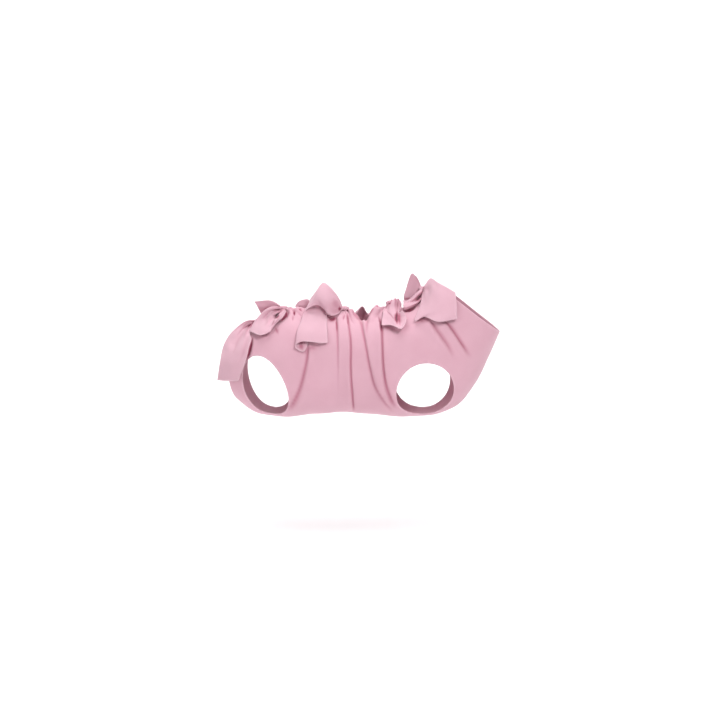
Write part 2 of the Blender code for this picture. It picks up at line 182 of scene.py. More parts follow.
class ShaderTree:
    # A material's nodes, added one method call at a time.

    def __init__(self, name):
        self.material = bpy.data.materials.new(name)
        self.material.use_nodes = True
        self.nodes = self.material.node_tree.nodes
        self.links = self.material.node_tree.links
        self.shader = self.nodes["Principled BSDF"]

    def add(self, kind, settings=None, inputs=None, output=0):
        node = self.nodes.new(kind)
        for name, value in (settings or {}).items():
            setattr(node, name, value)
        for name, value in (inputs or {}).items():
            self.feed(node.inputs[name], value)
        return Socket(self, node.outputs[output])

    def feed(self, target, value):
        if isinstance(value, Socket):
            self.links.new(value.output, target)
        else:
            target.default_value = value

    def blend(self, share, first, second):
        # From the first colour to the second as share goes from 0 to 1.
        return self.add(
            "ShaderNodeMix", {"data_type": "RGBA"}, {0: share, 6: first, 7: second}, output=2
        )

    def noise(self, spot, scale, detail):
        return self.add(
            "ShaderNodeTexNoise", None, {"Vector": spot, "Scale": scale, "Detail": detail}
        )

    def surface(self, **values):
        for name, value in values.items():
            self.feed(self.shader.inputs[name.replace("_", " ")], value)


def plainMaterial(name, colour):
    tree = ShaderTree(name)
    tree.surface(Base_Color=colour, Roughness=0.9)
    return tree.material


jerseySettings = {
    "wrap": (0.675, 0.395, 0.475, 1.0),
    "tie": (0.680, 0.418, 0.495, 1.0),
    # the painted shade that folds and creases are darkened towards, also the darker end of the
    # random tone and of the knit
    "shade": (0.36, 0.065, 0.125, 1.0),
    # the darker painted shade of dark hollows
    "paintedHollowShade": (0.09, 0.010, 0.028, 1.0),
    "rawEdge": (0.86, 0.63, 0.70, 1.0),
    "waleWidth": 0.85 * mm,
    "courseHeight": 0.70 * mm,
    "weaveDepth": 0.05 * mm,
    "stitchLean": 0.7,
    "stitchShare": 0.3,
    "mottleScale": 38.0,
    "mottleDepth": 0.5 * mm,
    "lintScale": 900.0,
    # how far each one goes towards its darker or paler colour
    "groundTint": 0.03,
    "mottleTint": 0.16,
    "weaveTint": 0.05,
    "lintTint": 0.05,
    # how far folds go towards the painted shade, and hollows, from where they start, towards the
    # darker painted shade
    "creaseShadeShare": 0.85,
    "hollowShadeShare": 0.8,
    "hollowStart": 0.95,
    "rimTint": 0.4,
    "roughness": 0.84,
    "lintRoughness": 0.12,
    "bump": 0.8,
}


def jerseyMaterial(name, settings):
    # Fine knit jersey. It reads the cloth's own UV map, which is in metres, and the
    # attributes of painted shade (1 in a fold, 2 in a dark hollow) and rim (1 on a cut edge).
    tree = ShaderTree(f"{name}Jersey")
    cloth = tree.add("ShaderNodeUVMap", {"uv_map": "cloth"})
    split = tree.add("ShaderNodeSeparateXYZ", None, {0: cloth})
    across = split / settings["waleWidth"]
    along = Socket(tree, split.output.node.outputs[1]) / settings["courseHeight"]
    wale = abs((across * math.pi).sine())
    lean = abs(across.part() - 0.5)
    stitch = ((along + lean * settings["stitchLean"]) * (2 * math.pi)).sine()
    weave = wale * (stitch * settings["stitchShare"] + (1 - settings["stitchShare"]))

    spot = tree.add("ShaderNodeTexCoord", output=3)
    mottle = tree.noise(spot, settings["mottleScale"], 4.0)
    lint = tree.noise(spot, settings["lintScale"], 2.0)
    crease = tree.add("ShaderNodeAttribute", {"attribute_name": "crease"}, output=2)
    rim = tree.add("ShaderNodeAttribute", {"attribute_name": "rim"}, output=2)

    # each colour is laid over the one before it
    blotches = (mottle - 0.5) * settings["mottleTint"] + settings["groundTint"]
    knit = (1.0 - weave) * settings["weaveTint"] + (lint - 0.5) * settings["lintTint"]
    # folds and hollows paint shade into the colour, where the cloth would lie in shade in a crease
    # or hollow
    folds = (crease * settings["creaseShadeShare"]).clamped()
    hollows = ((crease - settings["hollowStart"]) * settings["hollowShadeShare"]).clamped()
    rims = (rim * settings["rimTint"]).clamped()
    colour = tree.blend(blotches, settings[name], settings["shade"])
    for share, over in ((knit, "shade"), (folds, "shade"), (hollows, "paintedHollowShade"), (rims, "rawEdge")):
        colour = tree.blend(share, colour, settings[over])

    relief = weave * settings["weaveDepth"] + (mottle - 0.5) * settings["mottleDepth"]
    height = {"Height": relief, "Distance": 1.0, "Strength": settings["bump"]}
    bump = tree.add("ShaderNodeBump", None, height)
    tree.surface(
        Base_Color=colour,
        Roughness=settings["roughness"] + (lint - 0.5) * settings["lintRoughness"],
        Normal=bump,
        Sheen_Weight=0.25,
        Sheen_Roughness=0.45,
        Specular_IOR_Level=0.25,
    )
    return tree.material


# Sheets of cloth

def ease(share):
    share = np.clip(share, 0.0, 1.0)
    return share * share * (3.0 - 2.0 * share)


def curveThrough(places, values, at):
    # Values at the places, joined by a smooth cubic and run on straight past the ends.
    places, values = np.asarray(places, float), np.asarray(values, float)
    slopes = np.gradient(values, places, axis=0)
    inside = np.clip(at, places[0], places[-1])
    beyond = at - inside
    row = np.clip(np.searchsorted(places, inside, side="right") - 1, 0, len(places) - 2)
    span = places[row + 1] - places[row]
    t = (inside - places[row]) / span
    if values.ndim == 2:
        t, span, beyond = t[..., None], span[..., None], beyond[..., None]
    return (
        values[row] * (2 * t**3 - 3 * t**2 + 1)
        + slopes[row] * span * (t**3 - 2 * t**2 + t)
        + values[row + 1] * (3 * t**2 - 2 * t**3)
        + slopes[row + 1] * span * (t**3 - t**2)
        + np.where(beyond > 0, slopes[-1], slopes[0]) * beyond
    )


def normalsOf(grid):
    normal = np.cross(np.gradient(grid, axis=1), np.gradient(grid, axis=0))
    return normal / np.maximum(np.linalg.norm(normal, axis=2, keepdims=True), 1e-9)


def runLength(grid, axis):
    # The distance from the first row or column to each point, along the cloth.
    steps = np.linalg.norm(np.diff(grid, axis=axis), axis=2)
    start = np.zeros((1, grid.shape[1]) if axis == 0 else (grid.shape[0], 1))
    return np.concatenate([start, np.cumsum(steps, axis=axis)], axis=axis)


def sheetObject(name, grid, layers=None, cloth=None, holes=None):
    # An object from a grid of points. layers are per-point attributes, cloth is the UV
    # place of each point in metres, and holes is negative where the cloth is cut away.
    rows, columns = grid.shape[:2]
    values = [grid.reshape(-1, 3)]
    values.append(np.zeros((rows * columns, 2)) if cloth is None else cloth.reshape(-1, 2))
    for layer in (layers or {}).values():
        values.append(layer.reshape(-1, 1))
    data = np.concatenate(values, axis=1)
    keep = np.ones(rows * columns) if holes is None else holes.ravel()
    points, faces, used, cuts = [], [], {}, {}

    def corner(index):
        if index not in used:
            used[index] = len(points)
            points.append(data[index])
        return used[index]

    def cutPoint(first, second):
        key = (min(first, second), max(first, second))
        if key not in cuts:
            share = keep[key[0]] / (keep[key[0]] - keep[key[1]])
            share = min(max(share, 0.02), 0.98)  # so that no sliver is left
            cuts[key] = len(points)
            points.append(data[key[0]] + share * (data[key[1]] - data[key[0]]))
        return cuts[key]

    for i in range(rows - 1):
        for j in range(columns - 1):
            base = i * columns + j
            ring = (base, base + 1, base + columns + 1, base + columns)
            inside = [keep[k] > 0 for k in ring]
            if not any(inside):
                continue
            face = []
            for k in range(4):
                if inside[k]:
                    face.append(corner(ring[k]))
                if inside[k] != inside[(k + 1) % 4]:
                    face.append(cutPoint(ring[k], ring[(k + 1) % 4]))
            if len(face) > 2:
                faces.append(face)

    points = np.array(points)
    mesh = bpy.data.meshes.new(name)
    mesh.from_pydata(points[:, :3].tolist(), [], faces)
    if cloth is not None:
        uv = mesh.uv_layers.new(name="cloth")
        corners = np.empty(len(mesh.loops), dtype=np.int32)
        mesh.loops.foreach_get("vertex_index", corners)
        uv.uv.foreach_set("vector", points[corners, 3:5].ravel())
    for column, layer in enumerate(layers or {}):
        attribute = mesh.attributes.new(layer, "FLOAT", "POINT")
        attribute.data.foreach_set("value", points[:, 5 + column])
    mesh.shade_smooth()
    made = bpy.data.objects.new(name, mesh)
    bpy.context.collection.objects.link(made)
    return made


def thicken(piece, thickness, offset):
    # Gives a sheet its cloth thickness.
    wall = piece.modifiers.new("cloth", "SOLIDIFY")
    wall.thickness = thickness
    wall.offset = offset
    bpy.ops.object.select_all(action="DESELECT")
    bpy.context.view_layer.objects.active = piece
    piece.select_set(True)
    bpy.ops.object.modifier_apply(modifier=wall.name)
    piece.select_set(False)


# The line of sight of the photograph, so that a place is written as it is seen

def eyePlace(settings):
    tilt = math.radians(settings["elevation"])
    back = np.array((0.0, -math.cos(tilt), math.sin(tilt)))
    return np.array(settings["target"]) + back * settings["distance"]


eye = eyePlace(cameraSettings)


def seenFrom(x, y, z):
    # Where a point shows on the suit's middle plane.
    share = -eye[1] / (y - eye[1])
    return eye[0] + (x - eye[0]) * share, eye[2] + (z - eye[2]) * share


def pushedOut(x, z, y):
    # The point at depth y that shows at x, z on the middle plane.
    share = (y - eye[1]) / -eye[1]
    return Vector((eye[0] + (x - eye[0]) * share, y, eye[2] + (z - eye[2]) * share))


# The wrap

wrapSettings = {
    "length": 330 * mm,
    "depth": 128 * mm,
    "width": 134 * mm,
    "thickness": 0.9 * mm,
    "rows": 400,
    "columns": 114,
    "flankPower": 0.88,
    "crowding": 0.6,
    "gap": 2.4 * mm,
    "endReach": 0.05,
    "sag": 0.75,
    "riseReach": 26 * mm,
    "riseFall": 1.5,
    "edgeLineEnd": 8 * mm,
    "puckerReach": 24 * mm,
    "pucker": 1.3 * mm,
    "puckerShare": 0.4,
    "foldTop": -1 * mm,
    "foldReach": 7 * mm,
    "rimWidth": 0.8 * mm,
    # back x and z, belly x and z, width, keel and bow, as shares of length, depth and width
    "sections": (
        (-0.400, -0.14, -0.440, -0.84, 0.56, 0.00, -0.050),
        (-0.368, -0.09, -0.392, -0.94, 0.74, 0.00, -0.035),
        (-0.288, 0.00, -0.300, -1.01, 0.87, 0.02, -0.010),
        (-0.180, 0.03, -0.185, -1.00, 0.90, 0.04, 0.0),
        (-0.045, 0.01, -0.045, -0.975, 0.89, 0.05, 0.0),
        (0.060, 0.00, 0.060, -0.98, 0.93, 0.06, 0.0),
        (0.152, 0.04, 0.167, -1.01, 0.98, 0.08, 0.0),
        (0.228, 0.09, 0.288, -1.01, 1.00, 0.10, 0.0),
        (0.279, 0.17, 0.409, -0.92, 0.97, 0.10, 0.0),
        (0.303, 0.26, 0.500, -0.66, 0.86, 0.06, 0.0),
        (0.312, 0.33, 0.552, -0.375, 0.75, 0.03, 0.0),
        (0.318, 0.385, 0.588, -0.14, 0.66, 0.00, 0.0),
    ),
    # tie: x as a share of length, rise of the edges, how far they stand apart after it
    "ties": {
        "rump": (-0.368, 0 * mm, 5 * mm),
        "hip": (-0.260, 4 * mm, 4 * mm),
        "loin": (-0.143, 5 * mm, 5 * mm),
        "waist": (-0.020, 5 * mm, 10 * mm),
        "rib": (0.158, 7 * mm, 7 * mm),
        "withers": (0.286, 4 * mm, 4 * mm),
    },
    # leg hole: x, z as shares, length and height, lean in degrees
    "holes": (
        (0.294, -0.73, 76 * mm, 84 * mm, 0.0),
        (-0.325, -0.70, 54 * mm, 98 * mm, 20.0),
    ),
    "holeOut": 0.47,
    "holeSpread": 52 * mm,
}

# How the far side differs from the near one: its long folds in metres, the fans of its
# gathers in degrees and its puckers in radians
farShift = {"folds": 4 * mm, "gathers": 9.0, "puckers": 1.7}

# The waves of the cloth itself, heights and lengths in metres
waveSettings = {
    "upright": 0.5 * mm, "uprightLength": 7.3 * mm, "bend": 1.4, "bendLength": 19 * mm,
    "slanted": 0.4 * mm, "slantedLength": 17 * mm, "slantedRise": 11 * mm,
    "puckerLength": 1.3 * mm, "slowPucker": 0.6, "slowLength": 2.3 * mm,
}

# The smooth outline that the ties are laid on
outlineSettings = {"rows": 150, "columns": 90, "runOn": 50 * mm}

# Long folds as they are seen from the side, in mm: the line from the top end down, height,
# soft and sharp widths, the side of the soft slope, the depth of the valley, and the fade
foldColumns = ("line", "height", "soft", "sharp", "side", "valley", "fade")
foldSettings = (
    (((-18, 1.5), (-17, -10.5), (-16, -37), (-16, -69.5), (-15.5, -112)),
     1.6, 7.0, 1.3, 1, 1.4, 0.9),
    (((-3.5, 6.5), (-2, -9), (0.5, -27.5), (1, -69.5), (2.5, -96), (5, -126)),
     2.6, 8.0, 1.2, -1, 1.3, 0.08),
    (((0, 10), (6.5, 4), (13, -5), (17, -21), (21, -41), (26, -67), (35, -96),
      (47, -113), (58, -127)),
     2.0, 8.0, 1.3, 1, 1.1, 0.1),
    (((30, 12), (24.5, 0), (21.5, -17), (22, -34)),
     2.2, 6.0, 1.8, 1, 1.2, 0.8),
    (((37.5, 0), (40.5, -8), (41.5, -25), (42.5, -50), (44, -72.5), (48, -93.5),
      (54.5, -109), (61, -120)),
     3.4, 9.0, 1.2, -1, 1.8, 0.1),
    (((-54, -37), (-56.5, -58), (-60.5, -76.5), (-65.5, -95), (-71.5, -109),
      (-82, -125)),
     2.2, 5.0, 1.6, 1, 1.2, 0.12),
    (((105, -5.5), (110.5, -14.5), (117, -23), (128.5, -39.5), (136.5, -57)),
     1.8, 7.0, 1.5, -1, 1.0, 0.5),
    (((125, -6.5), (132.5, -16), (139.5, -26.5), (149.5, -42.5), (157.5, -55)),
     2.4, 7.0, 1.3, -1, 1.3, 0.4),
)

# darkest and fullHeight set how dark the shade painted at a fold's foot is
foldShape = {
    "start": 0.02, "startReach": 0.08, "slantWidth": 1.2,
    "footOff": 1.5, "darkest": 0.75, "fullHeight": 3.2,
}

# Short creases round the ties on the near side, as they are seen from the side: the line
# in mm, then width and depth in mm and how dark the shade painted into it is
wrapCreases = (
    (((-126.5, -27.5), (-131, -43.5), (-135, -56.5)), 2, 2.5, 1.4),
    (((-82.5, 8), (-83, 1.5), (-90.5, -6.5)), 2, 2, 1.6),
    (((-97, -14), (-93.5, -21)), 2, 0.8, 0.7),
    (((-77.5, 10), (-80.5, 2.5), (-82.5, -3.5)), 1, 1.2, 0.7),
    (((-72.5, 8), (-72, 1.5)), 1.2, 1.8, 1.8),
    (((-73.5, 1.5), (-74.5, -5.5)), 1.2, 0.9, 0.5),
    (((-66.5, 11), (-62, 8)), 1.1, 1, 1.2),
    (((-67.5, 5.5), (-62.5, 1.5)), 1.2, 0.8, 0.4),
    (((-28, 0.5), (-24, -2.5), (-18, -0.5)), 3.4, 1.4, 1.5),
    (((-18, -1.5), (-17, -10.5), (-17, -21)), 1.1, 1.3, 1.1),
    (((-7, 2.5), (-9, -6)), 1.1, 1.1, 0.8),
    (((-4, 6.5), (-3, -5.5), (-3, -12)), 1, 1.4, 1),
    (((-6, 8), (-2, 10)), 1, 1, 1.5),
    (((2, 6.5), (6.5, 0), (11, -5.5)), 1.3, 0.8, 0.45),
    (((37.5, -1.5), (40, -9), (40.5, -21)), 1.4, 1.8, 1.5),
    (((35, 14), (35.5, 12)), 1, 0.8, 1.5),
    (((43.5, -13), (52, -14), (61, -18)), 2.6, 0.8, 0.6),
    (((67, 8.5), (76.5, 9), (87, 14.5)), 1.7, 1.6, 1.3),
    (((87, -6), (97.5, -2.5), (106.5, -6)), 4, 0.8, 0.6),
    (((-63.5, -48), (-54.5, -42), (-39, -37.5)), 3.2, 0.6, 0.5),
)

creaseShape = {"tip": 0.45, "taper": 3.0}

# Gathers that fan out from each knot: the angle between two folds in degrees, how far
# they reach and how high they are in mm
gatherSettings = {
    "rump": {"spacing": 25, "reach": 30, "height": 3.0, "turn": 8},
    "hip": {"spacing": 22, "reach": 40, "height": 5.0, "turn": 3},
    "loin": {"spacing": 24, "reach": 36, "height": 4.0, "turn": 14},
    "waist": {"spacing": 22, "reach": 46, "height": 4.6, "turn": 5},
    "rib": {"spacing": 22, "reach": 42, "height": 4.4, "turn": 17},
    "withers": {"spacing": 28, "reach": 36, "height": 2.6, "turn": 9},
}

gatherShape = {
    "above": 4 * mm, "sway": 0.35, "swayAngle": 17.0, "uneven": 0.25, "unevenAngle": 11.0,
    "fade": 1.3, "level": 0.6, "darkPower": 3,
}

# The two back edges as they are seen from the side, in mm: the near edge dips between
# the waist and rib knots, and the far one shows behind it there
edgeLines = {
    "near": (
        (-132, -15), (-122, -7), (-110, -3), (-97, 3), (-86, 8.5), (-81, 10), (-76, 13),
        (-72.5, 10.5), (-68, 14), (-64, 14), (-60, 12.5), (-54, 11), (-47, 10), (-33, 5),
        (-20, 3), (-11, 9), (-6.5, 8), (-1.5, 11), (5, 6.5), (9, 3), (12.5, -2), (17, -5),
        (21.5, -3.5), (25, 5), (28.5, 12), (32, 15.5), (36, 16.5), (40, 14.5), (45, 12),
        (51, 14), (59, 16), (66, 13), (72, 12), (80, 15), (88, 21), (94.5, 28), (100, 37),
        (105, 46),
    ),
    "far": (
        (-132, -15), (-122, -7), (-105, 0), (-86, 8), (-78, 11), (-70, 7), (-60, 8),
        (-47, 9), (-36, 4), (-24, 6), (-8, 9), (0, 5), (5, 3), (8.5, 3), (11, 8),
        (14.5, 11), (18, 10), (21, 6), (24, 1), (29, 2), (36, 9), (45, 9), (52, 14),
        (62, 11), (74, 14), (85, 18), (94.5, 28), (100, 37), (105, 46),
    ),
}


def tieTable(settings):
    # Where the ties stand, how far they raise the edges and how far these part after them.
    ties = np.array(list(settings["ties"].values()))
    return ties[:, 0] * settings["length"], ties[:, 1], ties[:, 2]


def backEdges(x, settings):
    # How far the back edges are pulled up and stand apart at x.
    places, rises, opens = tieTable(settings)
    inside = np.clip(x, places[0], places[-1])
    row = np.clip(np.searchsorted(places, inside, side="right") - 1, 0, len(places) - 2)
    t = (inside - places[row]) / (places[row + 1] - places[row])
    belly = np.sin(np.pi * t) ** 2
    rise = rises[row] * (1 - ease(t)) + rises[row + 1] * ease(t)
    reach = settings["endReach"] * settings["length"]
    past = ease((x - places[-1]) / reach) * opens[-1] + ease((places[0] - x) / reach) * opens[0]
    return rise * (1 - settings["sag"] * belly), settings["gap"] / 2 + opens[row] * belly + past


def longFolds(x, z, folds):
    # The height of the long folds in metres, and the shade painted at their foot, at seen places.
    height, crease = np.zeros_like(x), np.zeros_like(x)
    for row in folds:
        fold = dict(zip(foldColumns, row))
        line = np.array(fold["line"]) * mm
        down = -line[:, 1]
        middle = curveThrough(down, line[:, 0], -z)
        lean = np.interp(-z, down, np.gradient(line[:, 0], down))
        t = (-z - down[0]) / (down[-1] - down[0])
        fade = ease((t + foldShape["start"]) / foldShape["startReach"])
        fade *= ease((1 - t) / fold["fade"])
        soft = fold["soft"] * mm
        sharp = fold["sharp"] * mm * (1 + foldShape["slantWidth"] * np.abs(lean))
        foot = foldShape["footOff"] * sharp
        off = (x - middle) * fold["side"] / np.sqrt(1 + lean**2) - foot
        ridge = np.exp(-((off / np.where(off > 0, soft, sharp)) ** 2))
        valley = np.exp(-(((off + foot) / sharp) ** 2))
        height += fade * mm * (fold["height"] * ridge - fold["valley"] * valley)
        # the foot of each fold is painted in shade, darker for a higher fold
        darkness = min(foldShape["darkest"], fold["height"] / foldShape["fullHeight"])
        crease = np.maximum(crease, fade * valley * darkness)
    return height, crease


def shortCreases(x, z, creases):
    # How far the cloth is pressed in at seen places, in metres, and how dark the shade painted
    # there is.
    depth, dark = np.zeros_like(x), np.zeros_like(x)
    for line, width, press, shade in creases:
        points = np.array(line) * mm
        ends = np.linspace(0.0, 1.0, len(points))
        away, along = np.full_like(x, np.inf), np.zeros_like(x)
        for i, (start, end) in enumerate(zip(points, points[1:])):
            run = end - start
            share = ((x - start[0]) * run[0] + (z - start[1]) * run[1]) / (run @ run)
            share = np.clip(share, 0.0, 1.0)
            gap = np.hypot(x - start[0] - share * run[0], z - start[1] - share * run[1])
            along = np.where(gap < away, ends[i] + share * (ends[i + 1] - ends[i]), along)
            away = np.minimum(away, gap)
        tip = creaseShape["tip"]
        taper = tip + (1 - tip) * ease(creaseShape["taper"] * np.minimum(along, 1.0 - along))
        mark = taper * np.exp(-((away / (width * taper * mm)) ** 2))
        depth += press * mm * mark
        # each mark is painted shade as well as a press into the cloth
        dark = np.maximum(dark, shade * mark)
    return depth, dark


def gathers(x, fromEdge, settings, turn):
    # The height of the folds that fan out from the knots, and the shade painted between them.
    height, crease = np.zeros_like(x), np.zeros_like(x)
    shape = gatherShape
    for place, folds in zip(tieTable(settings)[0], gatherSettings.values()):
        across, down = x - place, fromEdge + shape["above"]
        away = np.hypot(across, down)
        angle = np.degrees(np.arctan2(across, down)) + folds["turn"] + turn
        sway = shape["sway"] * np.sin(angle / shape["swayAngle"])
        fold = np.abs(np.cos(np.pi * (angle / folds["spacing"] + sway)))
        uneven = np.sin(angle / shape["unevenAngle"] + folds["turn"])
        reach = folds["reach"] * mm * (1 - shape["uneven"] + shape["uneven"] * uneven)
        fade = (1 - ease(away / reach)) ** shape["fade"]
        height += folds["height"] * mm * fade * (fold - shape["level"])
        # the valleys between the gathers are painted in shade
        crease = np.maximum(crease, fade * (1 - fold) ** shape["darkPower"])
    return height, crease


def raisedEdge(grid, fromEdge, near, settings):
    # How far each place is lifted so that the back edges follow their seen lines.
    lift = np.zeros_like(fromEdge)
    for line, column, mask in ((edgeLines["near"], 0, near), (edgeLines["far"], -1, ~near)):
        line = np.array(line) * mm
        x, z = grid[:, column, 0], grid[:, column, 2]
        wanted = curveThrough(line[:, 0], line[:, 1], np.clip(x, line[0, 0], line[-1, 0]))
        gap = (wanted - z) * (1 - ease((x - line[-1, 0]) / settings["edgeLineEnd"]))
        lift += np.where(mask, gap[:, None], 0.0)
    return lift * (1 - ease(fromEdge / settings["riseReach"])) ** settings["riseFall"]


def puckers(x, near, waves):
    # Small waves along the back edges, from -1.6 to 1.6.
    quick = np.sin(x / waves["puckerLength"] + np.where(near, 0.0, farShift["puckers"]))
    return quick + waves["slowPucker"] * np.sin(x / waves["slowLength"] + 0.8)


def unevenness(x, z, waves):
    # Two broad low waves at seen places, for cloth never lies quite even.
    bend = waves["bend"] * np.sin(z / waves["bendLength"])
    upright = waves["upright"] * np.sin(x / waves["uprightLength"] + bend)
    slant = np.sin(x / waves["slantedLength"] - z / waves["slantedRise"] + 0.7)
    return upright, waves["slanted"] * slant


def wrapRings(settings, rows, columns, runOn, slit):
    # The wrap without its folds, as rings of points through its sections, the distance of
    # each point from the back edges and whether it is on the near side.
    length, depth, width = settings["length"], settings["depth"], settings["width"]
    unit = np.array((length, depth, length, depth, width, 1.0, length))
    table = np.array(settings["sections"]) * unit
    middles = (table[:, 0:2] + table[:, 2:4]) / 2
    steps = np.linalg.norm(np.diff(middles, axis=0), axis=1)
    places = np.concatenate([[0.0], np.cumsum(steps)])
    section = curveThrough(places, table, np.linspace(-runOn, places[-1] + runOn, rows + 1))
    back, belly = section[:, 0:2], section[:, 2:4]
    halfWidth, keel, bow = section[:, 4] / 2, section[:, 5], section[:, 6]
    rise, apart = backEdges(back[:, 0], settings)
    power = settings["flankPower"]
    start = np.zeros_like(apart)
    if slit:
        start = np.arcsin((apart / (halfWidth * (1 + keel))) ** (1 / power))
    even = np.linspace(0.0, 1.0, columns + 1)
    share = even - settings["crowding"] * np.sin(2 * np.pi * even) / (2 * np.pi)
    angle = start[:, None] + share[None, :] * (2 * np.pi - 2 * start[:, None])
    up, out = np.cos(angle), np.sin(angle)
    middle, half = (back + belly) / 2, (back - belly) / 2
    sideways = np.sign(out) * np.abs(out) ** power * (1 + keel[:, None] * up)
    grid = np.empty((*angle.shape, 3))
    grid[..., 0] = middle[:, :1] + half[:, :1] * up + bow[:, None] * out**2
    grid[..., 1] = -halfWidth[:, None] * sideways
    grid[..., 2] = middle[:, 1:] + half[:, 1:] * up

    fromStart = runLength(grid, 1)
    fromEdge = np.minimum(fromStart, fromStart[:, -1:] - fromStart)
    if not slit:
        fromEdge = np.maximum(fromEdge - apart[:, None], 0.0)
    near = (even <= 0.5)[None, :] & np.ones_like(fromEdge, bool)
    grid[..., 2] += rise[:, None] * (1 - ease(fromEdge / settings["riseReach"]))
    grid[..., 2] += raisedEdge(grid, fromEdge, near, settings)
    return grid, fromEdge, near


def wrapSurface(settings, rows, columns, runOn=0.0, slit=True):
    # The wrap's outer face as a grid, from the near back edge round to the far one, with
    # its creases, the shade painted into them and the distance from the back edges.
    grid, fromEdge, near = wrapRings(settings, rows, columns, runOn, slit)
    normal = normalsOf(grid)
    x = grid[..., 0]
    seenX, seenZ = seenFrom(x, -np.abs(grid[..., 1]), grid[..., 2])
    foldX = seenX + np.where(near, 0.0, farShift["folds"])
    folds, foldShade = longFolds(foldX, seenZ, foldSettings)
    fan, fanShade = gathers(x, fromEdge, settings, np.where(near, 0.0, farShift["gathers"]))
    pressed, dark = shortCreases(seenX, seenZ, wrapCreases)
    slack = ease(fromEdge / settings["puckerReach"])

    lift = folds * ease((fromEdge - settings["foldTop"]) / settings["foldReach"]) + fan
    for wave in unevenness(seenX, seenZ, waveSettings):
        lift += wave
    if slit:
        height = settings["pucker"] * settings["puckerShare"]
        lift += height * puckers(x, near, waveSettings) * (1 - slack) ** 2
        lift -= np.where(near, pressed, 0.0)
    else:
        lift = np.maximum(lift, 0.0) + settings["pucker"] * (1 - slack)
    # the shade painted into the folds, the gathers and the near side's short creases
    crease = np.maximum(np.maximum(foldShade, fanShade), np.where(near, dark, 0.0))
    return grid + normal * lift[..., None], crease, fromEdge


def legHoles(grid, settings):
    # Above 0 outside the leg holes and below 0 inside them, in metres near their edge.
    nearest = np.full(grid.shape[:2], np.inf)
    for x, z, length, height, lean in settings["holes"]:
        for side in (-1, 1):
            turn = math.radians(lean)
            dx = grid[..., 0] - x * settings["length"]
            dy = grid[..., 1] - side * settings["holeOut"] * settings["width"]
            dz = grid[..., 2] - z * settings["depth"]
            along = dx * math.cos(turn) + dz * math.sin(turn)
            up = -dx * math.sin(turn) + dz * math.cos(turn)
            egg = np.sqrt(
                (along / (length / 2)) ** 2
                + (dy / settings["holeSpread"]) ** 2
                + (up / (height / 2)) ** 2
            )
            nearest = np.minimum(nearest, (egg - 1) * length / 2)
    return nearest


def buildWrap(settings, material):
    # The folded cloth with its leg holes cut out.
    grid, crease, fromEdge = wrapSurface(settings, settings["rows"], settings["columns"])
    holes = legHoles(grid, settings)
    along = runLength(grid, 0)
    fromRim = np.minimum(along, along[-1:] - along)
    edge = np.minimum(np.minimum(fromRim, fromEdge), np.abs(holes))
    rim = np.exp(-edge / settings["rimWidth"])
    cloth = np.stack([along, runLength(grid, 1)], axis=2)
    # the shade painted into folds and creases goes onto the cloth as an attribute
    piece = sheetObject("wrapCloth", grid, {"crease": crease, "rim": rim}, cloth, holes)
    piece.data.materials.append(material)
    thicken(piece, settings["thickness"], -1.0)
    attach(piece, "root")
    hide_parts("body_wrap")
    return piece


def outlineTree(settings, outline):
    # The wrap's smooth shape, closed on the back and run on past both ends.
    grid = wrapSurface(
        settings, outline["rows"], outline["columns"], runOn=outline["runOn"], slit=False
    )[0]
    rows, columns = grid.shape[:2]
    points = [Vector(point) for point in grid.reshape(-1, 3)]
    faces = [
        (i * columns + j, i * columns + j + 1, (i + 1) * columns + j + 1, (i + 1) * columns + j)
        for i in range(rows - 1)
        for j in range(columns - 1)
    ]
    return BVHTree.FromPolygons(points, faces)
